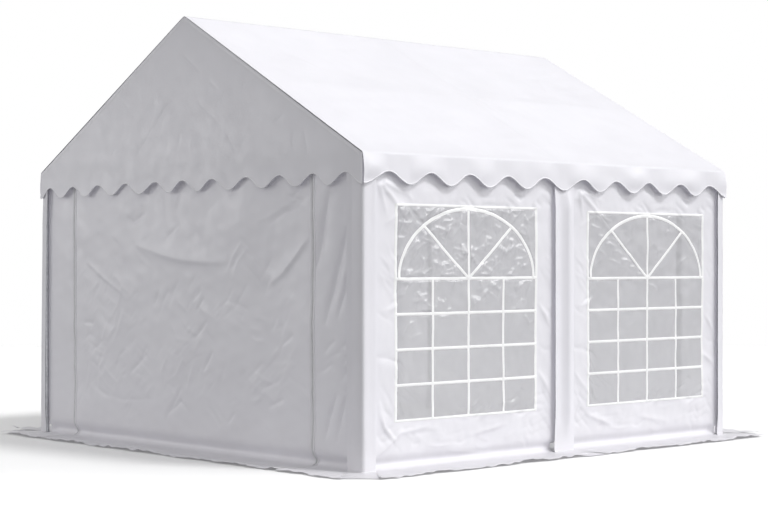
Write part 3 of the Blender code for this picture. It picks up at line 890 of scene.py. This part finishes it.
PVC = pvc_material("white_pvc", (0.835, 0.828, 0.872), (0.865, 0.858, 0.902), 0.42, 0.0012)
HEM = pvc_material("white_pvc_hem", (0.875, 0.868, 0.91), (0.905, 0.898, 0.935), 0.38, 0.0006)
BARS = plain_material(
    "white_window_bars", (0.87, 0.87, 0.88), (0.90, 0.90, 0.905), (0.32, 0.42), 0.0003
)
# Painted shade: the zip's tapes, white in themselves, are grey to darken the shaded seam between door
# and strip
ZIP_TAPE_SHADED = plain_material(
    "zip_tape_painted_shade", (0.62, 0.62, 0.64), (0.70, 0.70, 0.72), (0.6, 0.8), 0.0003
)
# Painted shade: the coil is grey, darker than the cover, to darken the shaded seam
ZIP_COIL_SHADED = plain_material("zip_coil_painted_shade", (0.60, 0.60, 0.62), (0.68, 0.68, 0.70), (0.45, 0.6), 0.0006)
METAL = {"Metallic": 1.0}
STEEL = plain_material(
    "galvanized_steel", (0.50, 0.51, 0.53), (0.66, 0.67, 0.69), (0.32, 0.52), 0.0002, more=METAL
)
CLEAR = ((4.0, 12.0, 14.0), {"Alpha": 0.48, "Specular IOR Level": 0.9})
FILM = plain_material(
    "clear_window_film", (0.74, 0.74, 0.76), (0.80, 0.80, 0.82), (0.05, 0.12), 0.0015, *CLEAR
)


# The pieces


def edge_binding(surface, route):
    """A narrow binding on both faces of a sheet along a route."""
    width, thickness, lift = 0.009, 0.0012, 0.0002
    return [(surface, route, width, side * thickness, side * lift) for side in (1, -1)]


def hem(surface, start, end, width):
    """A flat hem along a sheet's straight edge."""
    return (surface, line(start, end, 0.03), width, 0.0009, 0.0001)


BINDING_PITCH = 0.012
BINDING_IN = 0.0045


def roof():
    """One sheet over both slopes, with its scalloped side valances."""
    end = HALF - 0.001
    along = stations((-end, end), 0.0125)
    slope = stations((0.0, 0.03, SLOPE_STRAIGHT), 0.024)
    arc = np.linspace(SLOPE_STRAIGHT, EAVE_ARC_END, 5)[1:]
    share = np.linspace(0, 1, 14)[1:]
    hang = EAVE_ARC_END + share[:, None] * (valance_way(along) - EAVE_ARC_END)
    half = [np.full(len(along), way) for way in (*slope, *arc)] + list(hang)
    down = np.array([-row for row in reversed(half[1:])] + half)
    along = np.broadcast_to(along, down.shape)
    nodes = ("roof_slope_left", "roof_slope_right")
    piece = grid_object("roof_sheet", roof_surface(along, down), nodes, PVC)
    fine = stations((-end, end), BINDING_PITCH)
    way = valance_way(fine) - BINDING_IN
    edges = []
    for side in (-1, 1):
        edges += edge_binding(roof_surface, np.stack([fine, side * way], axis=-1))
    binding = bands("roof_valance_binding", edges, HEM)
    hem_at, hem_top, hem_foot = HALF - 0.016, 0.02, SLOPE_STRAIGHT - 0.01
    hems = [
        hem(roof_surface, (y, side * hem_top), (y, side * hem_foot), 0.028)
        for y in (-hem_at, hem_at)
        for side in (-1, 1)
    ]
    trim = [binding, bands("roof_verge_hems", hems, HEM)]


def gable(face, pitch):
    """The triangle of one end with its scalloped valance."""
    name = FACES[face]
    surface = gable_surface(face)
    reach = HALF - 0.0065
    along = stations((-reach, 0.0, reach), pitch)
    low = valance_edge(along, GABLE_CRESTS, reach)
    top = RIDGE - np.abs(along) * math.tan(PITCH) - 0.0055
    shoulder = np.minimum(EAVE - 0.005, top - 0.0005)
    hanging = low + np.linspace(0, 1, 15)[:, None] * (shoulder - low)
    triangle = shoulder + np.linspace(0, 1, round(1.1 / pitch))[1:, None] * (top - shoulder)
    up = np.concatenate([hanging, triangle])
    along = np.broadcast_to(along, up.shape)
    piece = grid_object(f"gable_sheet_{name}", surface(along, up), [f"gable_{name}"], PVC)
    fine = stations((-reach, reach), BINDING_PITCH)
    route = np.stack([fine, valance_edge(fine, GABLE_CRESTS, reach) + BINDING_IN], axis=-1)
    edges = edge_binding(surface, route)
    hem_top, hem_end = RIDGE - 0.022, reach - 0.03
    for side in (-1, 1):
        start = (side * hem_end, hem_top - hem_end * math.tan(PITCH))
        edges.append(hem(surface, start, (side * 0.01, hem_top), 0.026))
    binding = bands(f"gable_binding_{name}", edges, HEM)


def skirt_slant(along, up, ends):
    """Moves the skirt's columns so that its cut ends follow the sleeves' slanted flaps."""
    run = np.clip((on_profile(up)[1] - SKIRT_START) / SKIRT_SLANTED, 0.0, 1.0)
    reach = 0.42
    shift = 0.0
    for side, (_, place, slant) in zip((-1, 1), ends):
        near = 1 - smooth_step(0.0, reach, side * (place - along))
        shift = shift + side * slant * near
    return along + run * shift


def wall_rows(pitch, breaks=()):
    """Ways up of a wall's rows, from the skirt's edge to the top."""
    skirt = stations((SKIRT_TIP, -0.05), 0.014)
    fold_part = stations((-0.05, FOLD_TOP), 0.006)
    wall = stations((FOLD_TOP, *breaks, way_up(WALL_TOP)), pitch)
    return np.concatenate([skirt, fold_part[1:], wall[1:]])


def skirt_edge(face, along, up):
    """Ways up with the skirt's outer edge drawn in, unevenly as cloth is cut and lies."""
    wave = 0.010 + 0.010 * swell(along, 0, 0.36, 230 + face)
    wave = wave + 0.007 * swell(along, 0, 0.12, 240 + face)
    outer = np.clip(up / SKIRT_TIP, 0.0, 1.0)
    return up + np.maximum(wave, 0.0) * outer**2


def wall_sheet(name, node, face, low_end, high_end, pitch, opening=None):
    """A wall panel with its skirt. An end is (wall's place, skirt's place, skirt's slant)."""
    across = {*low_end[:2], *high_end[:2]}
    levels = ()
    if opening:
        across.update(opening[:2])
        levels = (way_up(opening[2]), way_up(opening[3]))
    columns = stations(sorted(across), pitch)
    rows = wall_rows(pitch, levels)
    along, up = np.meshgrid(columns, rows)
    placed = skirt_slant(along, up, (low_end, high_end))
    points = wall_surface(face)(placed, skirt_edge(face, placed, up))
    along = (columns[:-1] + columns[1:]) / 2
    up = ((rows[:-1] + rows[1:]) / 2)[:, None]
    behind_sleeve = (along < low_end[1]) | (along > high_end[1])
    keep = ~(behind_sleeve & (up < 0.05))
    if opening:
        inside = (along > opening[0]) & (along < opening[1])
        keep &= ~(inside & (up > levels[0]) & (up < levels[1]))
    return grid_object(name, points, [node], PVC, keep=keep)


def corner_ends(face):
    """The two ends of a face's walls, whose skirts end at the corner sleeves."""
    widths = (CORNER_WIDTHS[(face - 1) % 4][1], CORNER_WIDTHS[face][0])
    grow = SKIRT_SLANTED / FLAP_FAR
    return [
        (side * WALL_END, side * (SLEEVE_OUT - width - SLEEVE_GAP), grow * (FLAP_NEAR + width))
        for side, width in zip((-1, 1), widths)
    ]


def upright(surface, place, foot, top, *size):
    """An upright band. size is its width, thickness and lift."""
    return (surface, line((place, foot), (place, top)), *size)


def zip_pieces(surface, place, node, top):
    """A zip's two tapes, and its coil with slider and puller."""
    foot, tape_off, slider_up = -0.03, 0.0052, 0.02
    tapes = [
        upright(surface, place + off, foot, top, 0.0110, 0.0008, -0.0004)
        for off in (-tape_off, tape_off)
    ]
    bands(f"zip_tape_{node}", tapes, ZIP_TAPE_SHADED, [f"zip_{node}"])
    slider = line((place, slider_up), (place, slider_up + 0.028), 0.004)
    puller = line((place + 0.001, slider_up - 0.05), (place, slider_up), 0.004)
    coil = [
        upright(surface, place, foot - 0.01, top, 0.0046, 0.0022, 0.0002),
        (surface, slider, 0.011, 0.005, 0.0014),
        (surface, puller, 0.005, 0.0022, 0.004),
    ]
    bands(f"zip_coil_painted_shade_{node}", coil, ZIP_COIL_SHADED, [f"zip_{node}"])


# The hems beside a zip, as (place beside it, width, thickness, lift)
ZIP_HEMS = ((-0.021, 0.024, 0.0012, 0.0003), (0.018, 0.018, 0.0034, 0.0004))


def end_wall(face, pitch):
    """An end wall: a strip, a zip, the door, a zip and a strip."""
    name = FACES[face]
    nodes = (LOW_END_NODES[face], HIGH_END_NODES[face])
    low_corner, high_corner = corner_ends(face)
    cuts = [place + side * HALF_ZIP for place in ZIPS for side in (-1, 1)]
    low_cut, door_low, door_high, high_cut = [(cut, cut, 0.0) for cut in cuts]
    door = wall_sheet(f"door_sheet_{name}", f"door_{name}", face, door_low, door_high, pitch)
    for node, ends in zip(nodes, ((low_corner, low_cut), (high_cut, high_corner))):
        wall_sheet(f"end_strip_{node}", f"end_wall_{node}", face, *ends, pitch)
    surface = wall_surface(face)
    top = way_up(WALL_TOP)
    hems = []
    for place, node in zip(ZIPS, nodes):
        zip_pieces(surface, place, node, top)
        for off, *size in ZIP_HEMS:
            hems.append(upright(surface, place + off, SKIRT_TIP + 0.02, top, *size))
    trim = bands(f"zip_hems_{name}", hems, HEM)


def window_bars(name, surface, window, pitch):
    """The white frame and bars welded on a window's film, in one piece."""
    centre, foot, springing, head = window
    low, high = centre - WINDOW_HALF, centre + WINDOW_HALF
    past_corner = 0.008
    thick = 0.0012
    parts = []

    def bar(start, end, width, lift):
        parts.append((surface, line(start, end, pitch), width, thick, lift))

    for edge in (low, high):
        bar((edge, foot - past_corner), (edge, head + past_corner), 0.026, 0.0006)
    for level in (foot, head):
        bar((low, level), (high, level), 0.018, 0.0009)
    for level in row_levels(window):
        bar((low, level), (high, level), 0.021, 0.0012)
    bar((centre, foot), (centre, head), 0.023, 0.0015)
    for side in (-1, 1):
        column = centre + side * COLUMN_STEP
        bar((column, foot), (column, springing), 0.022, 0.0015)
        tip = (centre + side * SPOKE_ACROSS, springing + SPOKE_RISE)
        bar((centre, springing), tip, 0.022, 0.0018)
    angle = np.linspace(0, math.pi, round(2.1 / pitch))
    rise = head - ARCH_DROP - springing
    arch_along = centre - ARCH_HALF * np.cos(angle)
    arch = np.stack([arch_along, springing + rise * np.sin(angle)], axis=-1)
    parts.append((surface, arch, 0.025, thick, 0.0021))
    return bands(name, parts, BARS)


def side_wall(face, pitch, film_pitch):
    """A long side: two panels, each with a window of film under white bars."""
    low_corner, high_corner = corner_ends(face)
    panels = (
        (LOW_END_NODES[face], low_corner, (-WALL_AT_MIDDLE_LEG, -0.0736, 0.0)),
        (HIGH_END_NODES[face], (WALL_AT_MIDDLE_LEG, 0.1376, 0.0), high_corner),
    )
    for window, (node, *ends) in zip(WINDOWS, panels):
        centre, foot, _, head = window
        low, high = centre - WINDOW_HALF, centre + WINDOW_HALF
        sheet = f"window_wall_sheet_{node}"
        opening = (low, high, foot, head)
        panel = wall_sheet(sheet, f"window_wall_{node}", face, *ends, pitch, opening)
        surface = film_surface(face, window)
        rows = stations((foot, head), film_pitch)
        along, up = np.meshgrid(stations((low, high), film_pitch), rows)
        points = surface(along, up)
        pane = [f"window_pane_{node}"]
        film = grid_object(f"window_film_{node}", points, pane, FILM)
        bars = window_bars(f"window_bars_{node}", surface, window, pitch)


def sleeves():
    """The sheets over the six legs, which run out into flaps on the ground."""
    rows = wall_rows(0.02)
    for corner, node in enumerate(CORNERS):
        surface, total = sleeve_surface(corner)
        bend = CORNER_WIDTHS[corner][0] - SLEEVE_ROUNDING
        columns = stations((0.0, bend - 0.002, bend + 0.037, total), 0.009)
        way, up = np.meshgrid(columns, rows[rows <= way_up(SLEEVE_TOP)])
        sleeve = [f"corner_sleeve_{node}"]
        piece = grid_object(f"corner_sleeve_sheet_{node}", surface(way, up), sleeve, PVC)
    for face in (1, 3):
        name = FACES[face]
        along, up = np.meshgrid(stations(MIDDLE_ALONG, 0.006), rows)
        points = middle_sleeve_surface(face)(along, up)
        sleeve = [f"middle_sleeve_{name}"]
        piece = grid_object(f"middle_sleeve_sheet_{name}", points, sleeve, PVC)


def steel():
    """Gives the CAD's tubes, which stay, their galvanized finish."""
    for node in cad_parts.values():
        if not node.hide_render:
            node.data.materials.clear()
            node.data.materials.append(STEEL)


roof()
gable(0, 0.012)
gable(2, 0.018)
end_wall(0, 0.0125)
end_wall(2, 0.020)
side_wall(1, 0.012, 0.0072)
side_wall(3, 0.017, 0.0136)
sleeves()
steel()


# Floor, light and camera


def floor():
    """A wide pale disc, just under the tent."""
    radius, height, sides = 16.0, -0.0005, 96
    angles = [2 * math.pi * step / sides for step in range(sides)]
    rim = [(radius * math.cos(angle), radius * math.sin(angle), height) for angle in angles]
    mesh = bpy.data.meshes.new("floor")
    mesh.from_pydata(rim, [], [list(range(sides))])
    material, tree, shader = new_material("pale_floor")
    pale = tinted(tree, noise(tree, 0.6), (0.96, 0.96, 0.96), (0.98, 0.98, 0.98))
    set_inputs(tree, shader, {"Base Color": pale, "Roughness": 0.9})
    mesh.materials.append(material)
    piece = add_object("floor", mesh)
    piece.visible_diffuse = False


def sky():
    """A studio dome, brighter at its sides than overhead, which the camera sees as even white."""
    world = bpy.data.worlds.new("studio")
    bpy.context.scene.world = world
    world.use_nodes = True
    tree = world.node_tree
    place = add_node(tree, "ShaderNodeTexCoord", {}).outputs["Generated"]
    inputs = {0: place, 1: Vector((0.20, 0.0, -0.98)).normalized()}
    off_top = add_node(tree, "ShaderNodeVectorMath", inputs, operation="DOT_PRODUCT")
    dome = spread(tree, off_top.outputs["Value"], (-1.0, 0.2), (0.50, 0.89))
    split = add_node(tree, "ShaderNodeSeparateXYZ", {"Vector": place})
    rise = spread(tree, split.outputs["Z"], (-0.08, 0.08), (0.22, 1.0), **SMOOTH)
    seen = add_node(tree, "ShaderNodeLightPath", {}).outputs["Is Camera Ray"]
    inputs = {"Factor": seen, "A": combined(tree, "MULTIPLY", dome, rise), "B": 1.0}
    strength = add_node(tree, "ShaderNodeMix", inputs, data_type="FLOAT").outputs["Result"]
    set_inputs(tree, tree.nodes["Background"], {"Strength": strength, "Color": (1, 1, 1, 1)})


def soft_light(name, kind, towards, energy):
    """A light that shines from the direction towards."""
    light = add_object(name, bpy.data.lights.new(name, kind))
    light.data.energy = energy
    light.rotation_euler = Vector(towards).to_track_quat("Z", "Y").to_euler()
    return light


def lights():
    """Three broad suns, and a square light low before the front that faces the tent."""
    suns = (
        ("key", (0.57, 0.26, 0.78), 1.60, 12),
        ("fill", (0.97, 0.10, 0.12), 0.38, 20),
        ("glint", (0.61, 0.68, 0.40), 0.80, 26),
    )
    for name, towards, energy, angle in suns:
        soft_light(name, "SUN", towards, energy).data.angle = math.radians(angle)
    box = soft_light("front_fill", "AREA", (-6.5, -6.5, 1.4), 66)
    box.data.size = 2.0
    box.location = (-6.5, -6.5, 2.4)


def camera():
    data = bpy.data.cameras.new("camera")
    data.lens = LENS
    data.sensor_width = 36.0
    data.sensor_fit = "HORIZONTAL"
    data.shift_y = HORIZON_SHIFT
    eye = add_object("camera", data)
    eye.location = CAMERA
    eye.rotation_euler = (math.pi / 2, 0.0, CAMERA_YAW)
    bpy.context.scene.camera = eye


floor()
sky()
lights()
camera()
bpy.context.scene.view_settings.view_transform = "Standard"
